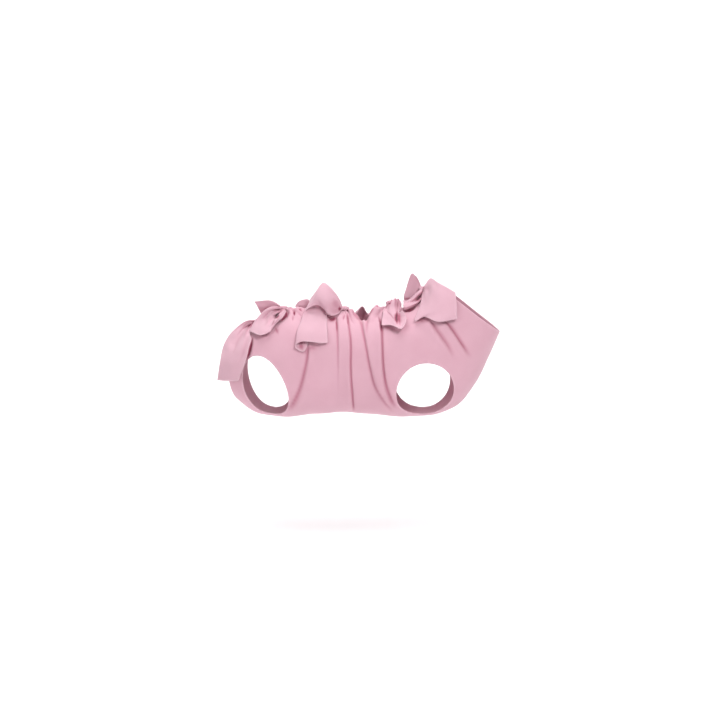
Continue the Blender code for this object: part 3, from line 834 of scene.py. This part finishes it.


# The ties

# Each tail is rows of points in mm from its knot to its free end: x and z as they are
# seen on the middle plane, and out, off the flank for a laid tail or off the middle plane
# for a standing one. Tails of the far side are written as seen through from the near side.
# A tail's tie and side are in its name. flat is its width and length and ripple the height
# of its waves, in mm. A share of painted shade may darken all of it. Its creases are written as the
# wrap's are, with their painted shade.
tailSettings = {
    "rump_near_tail": {
        "laid": True, "flat": (34, 105), "ripple": 1.1, "ripples": 3,
        "creases": (
            (((-127.5, -9), (-132.5, -14)), 1.3, 1.2, 1.7),
            (((-122, -8.5), (-124.5, -10.5)), 1, 0.8, 1.4),
            (((-127.5, -6.5), (-135, -9), (-141.5, -17)), 0.9, 0.6, 0.35),
            (((-132.5, -14.5), (-144.5, -30), (-151, -46)), 2.4, 1, 0.22),
            (((-130, -19.5), (-135, -37), (-143, -59)), 2.6, 1, 0.18),
        ),
        "rows": (
            ((-127.5, -4.5, 3), (-127.5, -6.5, 5), (-127, -8.5, 3),
             (-126, -10.5, 5), (-125.5, -13, 3)),
            ((-134.5, -5.5, 3), (-134, -8.5, 6), (-133, -12, 3),
             (-131.5, -15, 6), (-128.5, -18.5, 4)),
            ((-143, -10.5, 3), (-141.5, -14.5, 7), (-140, -18, 4),
             (-135, -21, 8), (-129.5, -24.5, 5)),
            ((-152, -18.5, 3), (-149, -22.5, 7), (-145.5, -26.5, 5),
             (-138, -28.5, 8), (-128.5, -29, 7)),
            ((-159, -27.5, 4), (-154.5, -31.5, 7), (-149.5, -35.5, 6),
             (-140.5, -38, 8), (-131.5, -39.5, 8)),
            ((-165, -41, 4), (-158.5, -43.5, 7), (-152, -46, 7),
             (-142.5, -48.5, 8), (-134, -50, 8)),
            ((-169, -59, 5), (-161, -61, 7), (-154, -63, 8), (-145, -65, 8), (-139, -66, 8)),
            ((-173, -83, 5), (-165, -84, 6), (-158, -84, 7), (-150, -84.5, 8), (-145.5, -83.5, 8)),
        ),
    },
    "rump_far_tail": {
        "laid": True, "flat": (24, 110), "ripple": 1.1, "ripples": 3,
        "rows": (
            ((-123.5, -5, 2), (-123.5, -8, 3), (-123.5, -11.5, 2)),
            ((-134, -9, 3), (-131.5, -14, 4), (-127.5, -19, 2)),
            ((-144, -20, 3), (-138.5, -25, 5), (-130, -29, 3)),
            ((-153, -36, 4), (-145, -39.5, 5), (-134, -43, 3)),
            ((-159, -55, 4), (-150.5, -57.5, 6), (-138, -61, 4)),
            ((-167, -81, 3), (-156, -84, 5), (-143, -84, 3)),
        ),
    },
    "hip_near_tail": {
        "laid": True, "flat": (36, 65), "ripple": 0.8, "ripples": 3,
        "creases": (
            (((-92, 3.5), (-97, -2.5)), 1.8, 3, 2.6),
            (((-97, -2.5), (-99.5, -8), (-101.5, -12)), 0.9, 1.2, 0.7),
            (((-89, 8), (-93.5, 9), (-101.5, 8.5)), 1.1, 1.6, 0.95),
            (((-101.5, 8.5), (-109, 6), (-114.5, 1.5)), 1.4, 0.9, 0.35),
            (((-100, 1.5), (-106.5, -4), (-109, -10.5)), 2.6, 0.8, 0.22),
        ),
        "rows": (
            ((-89.5, 12.5, 6), (-89, 11, 9), (-88.5, 9, 8), (-88, 7.5, 9),
             (-87, 7, 6), (-85, 9, 11), (-83, 6.5, 7)),
            ((-96, 13.5, 6), (-96, 11, 10), (-95.5, 8, 8), (-95, 4.5, 12),
             (-93, 3, 4), (-91, 2.5, 14), (-87.5, -1, 9)),
            ((-104.5, 12, 6), (-104, 8.5, 10), (-102.5, 5.5, 9), (-101, 0.5, 13),
             (-97.5, -2, 5), (-96, -4, 15), (-93.5, -6.5, 9)),
            ((-113, 6, 6), (-112, 2.5, 10), (-109, -1.5, 10), (-106, -5.5, 13),
             (-102.5, -8, 8), (-100, -9.5, 14), (-98, -11.5, 9)),
            ((-121, -2.5, 9), (-118.5, -6, 11), (-115, -9, 11), (-110.5, -12.5, 12),
             (-106, -14, 10), (-102.5, -14.5, 12), (-101.5, -16.5, 9)),
            ((-126, -10.5, 10), (-123, -14, 11), (-119, -16.5, 11), (-114.5, -18, 12),
             (-109, -18.5, 11), (-104.5, -18.5, 11), (-102.5, -18.5, 9)),
            ((-130, -18.5, 10), (-125, -21, 10), (-119.5, -23.5, 10), (-115.5, -24, 11),
             (-110.5, -22.5, 11), (-106.5, -21, 10), (-104, -19.5, 9)),
        ),
    },
    "hip_far_tail": {
        "laid": False, "flat": (12, 37), "ripple": 0.8, "ripples": 2,
        "paintedTailShade": 0.35,
        "creases": (
            (((-96, 13), (-106.5, 12.5), (-114.5, 8)), 1.6, 0.6, 0.75),
        ),
        "rows": (
            ((-89.5, 14, 5), (-89.5, 12, 4), (-89.5, 10.5, 5)),
            ((-95, 18, 9), (-96, 14, 8), (-97.5, 10, 9)),
            ((-101.5, 21, 12), (-104, 14.5, 10), (-106.5, 8, 12)),
            ((-109, 21.5, 14), (-110.5, 13, 11), (-112, 4.5, 14)),
            ((-124, 20, 15), (-119.5, 12.5, 12), (-115.5, 4, 14)),
        ),
    },
    "loin_far_tail": {
        "laid": False, "flat": (10, 27), "ripple": 0.4, "ripples": 2,
        "paintedTailShade": 0.2,
        "creases": (
            (((-66.5, 14), (-61, 9)), 2, 0.8, 0.8),
        ),
        "rows": (
            ((-49.5, 14.5, 4), (-49.5, 12.5, 4), (-49.5, 10.5, 5)),
            ((-53.5, 22.5, 9), (-52, 17, 8), (-50.5, 11, 9)),
            ((-60, 22.5, 12), (-58.5, 16, 9), (-57, 8, 10)),
            ((-67, 19.5, 12), (-64.5, 14.5, 9), (-61, 6.5, 10)),
            ((-71.5, 13.5, 11), (-67.5, 11, 9), (-62.5, 6.5, 9)),
        ),
    },
    "loin_near_tail": {
        "laid": True, "flat": (39, 80), "ripple": 0.9, "ripples": 3,
        "creases": (
            (((-68, -34.5), (-56, -33)), 1.5, 0.6, 0.8),
            (((-60, -38), (-66.5, -39.5)), 4.5, 0.2, 0.85),
        ),
        "rows": (
            ((-54.5, 8, 2), (-54, 10, 2), (-53, 12, 4), (-49, 15, 6),
             (-44, 16.5, 7), (-39, 15, 6), (-34, 11.5, 4)),
            ((-56.5, 2.5, 1), (-57.5, 3.5, 1), (-59, 6.5, 4), (-53.5, 8.5, 7),
             (-45.5, 9.5, 8), (-36.5, 9, 7), (-30.5, 4.5, 4)),
            ((-57, -8, 1), (-61, -8, 1), (-64, -6.5, 4), (-56, -5.5, 7),
             (-47, -4.5, 8), (-38.5, -5.5, 7), (-30, -6, 4)),
            ((-57, -22.5, 1), (-64, -23, 1), (-69, -21, 5), (-61, -19, 8),
             (-48.5, -19, 8), (-38.5, -19.5, 7), (-29.5, -20.5, 4)),
            ((-54.5, -36, 1), (-60.5, -46, 1.5), (-70.5, -40, 5), (-65.5, -33, 9),
             (-51, -32.5, 9), (-39.5, -34, 8), (-29, -34, 5)),
        ),
    },
    "waist_near_tail": {
        "laid": False, "flat": (37, 69), "ripple": 0.6, "ripples": 2,
        "creases": (
            (((-13, 7), (-14, 13)), 2.2, 1, 1.5),
            (((-15.5, 10.5), (-21, 22.5)), 5.5, 0.4, 0.42),
        ),
        "rows": (
            ((-11.5, 7, 8), (-11.5, 9, 6), (-11, 12, 4), (-10.5, 14, 2), (-10.5, 13, -2)),
            ((-17, 3, 17), (-15, 10, 13), (-13.5, 17, 8), (-12.5, 20.5, 2), (-13, 18.5, -5)),
            ((-23, 1.5, 22), (-21.5, 12, 20), (-19.5, 22.5, 13), (-17.5, 29, 3), (-17.5, 26.5, -7)),
            ((-28.5, 4, 23), (-28.5, 17, 24), (-27.5, 29.5, 16), (-24.5, 37.5, 4), (-24.5, 35, -8)),
            ((-34, 10.5, 21), (-36, 21.5, 23), (-35, 34, 16), (-32.5, 44, 4), (-32, 41, -9)),
            ((-39.5, 14.5, 19), (-42, 23.5, 21), (-41.5, 34, 14),
             (-37.5, 42.5, 3), (-36.5, 39.5, -9)),
            ((-48, 14.5, 20), (-49, 19, 19), (-47.5, 26.5, 12), (-43.5, 33.5, 4), (-41.5, 30, -7)),
            ((-59, 7, 21), (-57, 10.5, 20), (-54, 16.5, 13), (-50.5, 23.5, 7), (-48, 21, 0)),
        ),
    },
    "waist_far_tail": {
        "laid": True, "flat": (26, 82), "ripple": 1.0, "ripples": 3,
        "rows": (
            ((-12, 6, 3), (-7, 7, 5), (-1, 6, 3)),
            ((-22, -8, 3), (-7, -6, 6), (9, -8, 3)),
            ((-24, -22, 4), (-7, -22, 7), (10, -20, 4)),
            ((-26, -35, 3), (-6, -37, 6), (11, -34, 4)),
        ),
    },
    "rib_near_tail": {
        "laid": True, "flat": (36, 61), "ripple": 1.0, "ripples": 4,
        "creases": (
            (((61, 6.5), (60, -1.5), (61, -9)), 2.2, 2, 2),
            (((64, 5.5), (63.5, -2.5), (64.5, -10.5)), 2.8, 0.6, 1.1),
            (((47, 8), (53.5, 1.5), (59, -6)), 1, 1, 0.6),
            (((61.5, 19.5), (62, 10.5)), 0.9, 1, 0.6),
            (((65.5, 18.5), (65.5, 10)), 0.8, 0.8, 0.5),
            (((52.5, 18.5), (50.5, 16)), 1.1, 1, 1.6),
        ),
        "rows": (
            ((49.5, 18.5, 4), (52, 20.5, 5), (54.5, 21.5, 6), (58, 23, 7),
             (60.5, 23, 6), (63, 22.5, 6), (65, 20.5, 4)),
            ((44, 10.5, 5), (47.5, 12, 7), (51.5, 12, 9), (57, 12.5, 10),
             (61, 12, 6), (63.5, 12, 7), (66.5, 12, 5)),
            ((43, 4, 5), (47, 4, 7), (52, 3.5, 10), (58.5, 2.5, 12),
             (60.5, 4.5, 3), (62, 6, 3), (63.5, 7, 4)),
            ((42, -2.5, 5), (47, -3.5, 7), (52.5, -4, 10), (59, -5.5, 13),
             (62, -2.5, 3), (64.5, 0.5, 4), (64.5, 5.5, 5)),
            ((41, -10.5, 6), (47.5, -10.5, 8), (54, -11, 10), (60.5, -14, 13),
             (67.5, -15, 13), (73, -2.5, 12), (68, 8.5, 10)),
        ),
    },
    "rib_far_tail": {
        "laid": True, "flat": (25, 84), "ripple": 1.0, "ripples": 3,
        "rows": (
            ((46, 10, 3), (51, 12, 5), (57, 10, 3)),
            ((38, -4, 3), (51, -2, 6), (64, -4, 3)),
            ((36, -17, 4), (51, -18, 7), (67, -15, 4)),
            ((34, -29, 3), (52, -31, 6), (69, -28, 4)),
        ),
    },
    "withers_far_tail": {
        "laid": False, "flat": (19, 100), "ripple": 0.7, "ripples": 2,
        "paintedTailShade": 0.06,
        "creases": (
            (((93.5, 29.5), (89, 23.5), (85.5, 20)), 1.9, 2, 2),
            (((69, 23), (79.5, 24)), 1.1, 0.8, 0.8),
            (((65.5, 16.5), (68, 17)), 1, 0.8, 1.2),
        ),
        "rows": (
            ((95, 24.5, -8), (94.5, 26.5, -13), (94, 29.5, -7), (93.5, 33.5, -10), (93, 36, -4)),
            ((89, 17, -15), (89, 20, -20), (89, 24, -9), (88.5, 29, -13), (86.5, 31, -6)),
            ((82, 12.5, -18), (82, 16, -21), (82, 19.5, -13), (82, 23, -14), (80.5, 25.5, -7)),
            ((74, 9.5, -19), (74, 12.5, -21), (74, 16, -17), (74, 18.5, -13), (74, 21, -7)),
            ((70, 10, -17), (69.5, 12.5, -18), (69.5, 15, -14), (69.5, 18, -10), (69.5, 21, -5)),
            ((76, 16, 0), (73, 18.5, 1), (71.5, 19.5, 1), (70.5, 21, 0), (70, 23, 0)),
            ((87, 23.5, 2), (82, 25, 3), (78, 25.5, 2), (73.5, 26, 1), (69.5, 27, 0)),
            ((93, 34, 3), (88, 35.5, 4), (82.5, 37, 4), (77.5, 38, 2), (73, 38, 0)),
            ((90.5, 43.5, 3), (87, 46, 4), (83.5, 47.5, 4), (79.5, 48.5, 2), (76, 48, 0)),
            ((86, 52.5, 2), (84, 54, 2), (82.5, 56, 2), (80.5, 56.5, 1), (78.5, 55, 0)),
        ),
    },
    "withers_near_tail": {
        "laid": True, "flat": (43, 83), "ripple": 0.15, "ripples": 2,
        "creases": (
            (((94.5, 39.5), (95, 37)), 1, 0.6, 0.8),
        ),
        "rows": (
            ((95, 38.5, 4), (96, 36.5, 5), (96, 34, 5), (95, 31.5, 5), (93.5, 29, 4)),
            ((98, 43, 5), (101, 35, 7), (100, 26.5, 7), (96, 18.5, 7), (90.5, 12.5, 5)),
            ((104.5, 50.5, 5), (107, 36.5, 8), (105, 22.5, 9), (98, 9, 9), (84, -5.5, 6)),
            ((114.5, 44.5, 5), (116, 31, 8), (115, 17, 9), (108, 5.5, 8), (96, 0, 5)),
            ((125.5, 38.5, 5), (126.5, 25.5, 7), (126, 12.5, 8), (122, 2, 9), (115, -6.5, 9)),
            ((136.5, 31.5, 4), (137.5, 21, 5), (138.5, 10, 6), (138.5, 3, 6), (139, -2.5, 6)),
        ),
    },
}

tieCloth = {
    "thickness": 0.8 * mm,
    "clearance": 1.6 * mm,
    "stepsAlong": 64,
    "stepsAcross": 40,
    "rootOut": 3.2,  # in mm
    "rootWidth": 5 * mm,
    "rootRows": 3,
    "rippleEnd": 0.75,
    "rippleStart": 0.08,
    "creaseEnd": 0.6,
    "sway": 0.35 * mm,
    "rimWidth": 0.7 * mm,
}

# Rays to the outline start well outside it, and go to the middle of the wearer's trunk
rays = {"from": 0.3, "trunk": -64 * mm, "leastOut": 6 * mm}


def smoothGrid(points, down, over):
    # A fine grid through a coarse one, smooth both ways, at the given rows and columns.
    rows, columns = points.shape[:2]
    flat = curveThrough(np.arange(rows), points.reshape(rows, -1), down)
    turned = flat.reshape(len(down), columns, 3).swapaxes(0, 1)
    fine = curveThrough(np.arange(columns), turned.reshape(columns, -1), over)
    return fine.reshape(len(over), len(down), 3).swapaxes(0, 1)


def flankAt(outline, x, z, side):
    # How far the outline is from the middle plane at x and z.
    start = Vector((x, side * rays["from"], z))
    hit = outline.ray_cast(start, Vector((0.0, -side, 0.0)))[0]
    return 0.0 if hit is None else abs(hit.y)


def placed(point, laid, side, outline):
    # A tail's point in the frame, from where it is seen and how far out it lies.
    x, z, out = (value * mm for value in point)
    if not laid:
        return pushedOut(x, z, side * out)
    place = Vector((x, 0.0, z))
    for _ in range(4):
        base = max(flankAt(outline, place.x, place.z, side), rays["leastOut"])
        if side > 0:
            place = Vector((x, base + out, z))
        else:
            place = pushedOut(x, z, -(base + out))
    return place


def clearOfWrap(grid, outline, clearance):
    # Pushes points straight out from the wearer's middle until they clear the wrap.
    for place in np.ndindex(grid.shape[:2]):
        point = Vector(grid[place])
        heart = Vector((point.x, 0.0, rays["trunk"]))
        spoke = (point - heart).normalized()
        hit = outline.ray_cast(heart + spoke * rays["from"], -spoke)[0]
        if hit is not None:
            clear = (hit - heart).length + clearance
            grid[place] = heart + spoke * max(clear, (point - heart).length)
    return grid


def rootRow(first, knot):
    # A narrow row inside the knot's box, turned towards the tail's first row.
    low, high = (Vector(corner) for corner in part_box(knot))
    centre = (low + high) / 2
    towards = (sum(first, Vector()) / len(first) - centre).normalized()
    across = (first[-1] - first[0]).normalized()
    root = centre + towards * tieCloth["rootOut"] * mm
    places = [i / (len(first) - 1) - 0.5 for i in range(len(first))]
    return [root + across * (tieCloth["rootWidth"] * place) for place in places]


def tailCreases(grid, tail):
    # How far a tail is pressed in at its creases, and how dark the shade painted there is.
    seenX, seenZ = seenFrom(grid[..., 0], grid[..., 1], grid[..., 2])
    return shortCreases(seenX, seenZ, tail.get("creases", ()))


def buildTail(name, tail, outline, material):
    # One loose end of a tie, from inside its knot to its free end.
    tie, side = name.split("_")[:2]
    sign = -1 if side == "near" else 1
    laid = tail["laid"]
    rows = [[placed(point, laid, sign, outline) for point in row] for row in tail["rows"]]
    rows.insert(0, rootRow(rows[0], f"{tie}_knot"))
    down = np.linspace(0.0, len(rows) - 1.0, tieCloth["stepsAlong"] + 1)
    over = np.linspace(0.0, len(rows[0]) - 1.0, tieCloth["stepsAcross"] + 1)
    grid = smoothGrid(np.array(rows), down, over)

    share = (down / down[-1])[:, None]
    place = (over / over[-1])[None, :]
    wave = np.cos(2 * np.pi * tail["ripples"] * (place + 0.08 * np.sin(5 * share)))
    height = tail["ripple"] * mm * wave * (1 - ease(share / tieCloth["rippleEnd"]))
    height *= ease(share / tieCloth["rippleStart"])
    height += tieCloth["sway"] * np.sin(9 * place + 7 * share) * share
    pressed = tailCreases(grid, tail)[0]
    grid = grid + normalsOf(grid) * height[..., None]
    grid[..., 1] += pressed
    free = grid[tieCloth["rootRows"]:]
    grid[tieCloth["rootRows"]:] = clearOfWrap(free, outline, tieCloth["clearance"])

    along, across = runLength(grid, 0), runLength(grid, 1)
    edge = np.minimum(np.minimum(across, across[:, -1:] - across), along[-1:] - along)
    rim = np.exp(-edge / tieCloth["rimWidth"])
    # painted shade in the ripples' valleys near the knot, at the tail's creases, and over all of
    # some tails
    crease = ease((0.25 - wave) / 1.25) * (1 - ease(share / tieCloth["creaseEnd"]))
    crease = np.maximum(crease * min(tail["ripple"], 1.0), tailCreases(grid, tail)[1])
    crease = np.maximum(crease, tail.get("paintedTailShade", 0.0))
    layers = {"crease": crease, "rim": rim}
    cloth = np.stack([across, along], axis=2)
    piece = sheetObject(name.title().replace("_", ""), grid, layers, cloth)
    piece.data.materials.append(material)
    thicken(piece, tieCloth["thickness"], 0.0)
    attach(piece, "root")
    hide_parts(name)
    return piece


knotSettings = {
    "segments": 72,
    "rings": 48,
    "grooves": 3,
    "twist": 1.6,
    "groove": 0.9 * mm,
    "grooveShape": 0.6,
    "round": 30 * mm,
    "long": 12 * mm,
}


def buildKnot(tie, settings, material):
    # A lump of cloth wound round itself, at the size and place of the CAD's knot.
    low, high = (Vector(corner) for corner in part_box(f"{tie}_knot"))
    bpy.ops.mesh.primitive_uv_sphere_add(
        segments=settings["segments"], ring_count=settings["rings"], radius=0.5
    )
    knot = bpy.context.object
    knot.name = knot.data.name = f"{tie}Knot"
    size, centre = high - low, (low + high) / 2
    for point in knot.data.vertices:
        unit = point.co * 2
        turn = math.atan2(unit.z, unit.y)
        wind = math.cos(settings["grooves"] * turn + settings["twist"] * math.pi * unit.x)
        fold = 1 - abs(wind) ** settings["grooveShape"]
        place = Vector((point.co.x * size.x, point.co.y * size.y, point.co.z * size.z))
        point.co = centre + place - place.normalized() * settings["groove"] * fold
    uv = knot.data.uv_layers.active
    uv.name = "cloth"
    for corner in uv.data:
        corner.uv = (corner.uv[0] * settings["round"], corner.uv[1] * settings["long"])
    knot.data.shade_smooth()
    knot.data.materials.append(material)
    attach(knot, "root")
    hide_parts(f"{tie}_knot")


print("camera and studio")
addCamera(cameraSettings)
addRoom(roomSettings)
addLights(lightSettings)
addGlow(roomSettings)

print("cloth")
wrapJersey = jerseyMaterial("wrap", jerseySettings)
tieJersey = jerseyMaterial("tie", jerseySettings)

print("wrap")
wrapPiece = buildWrap(wrapSettings, wrapJersey)

print("ties")
outline = outlineTree(wrapSettings, outlineSettings)
for tie in wrapSettings["ties"]:
    buildKnot(tie, knotSettings, tieJersey)
    for name, tail in tailSettings.items():
        if name.startswith(tie):
            piece = buildTail(name, tail, outline, tieJersey)
            width, length = tail["flat"]
            width * mm
            length * mm
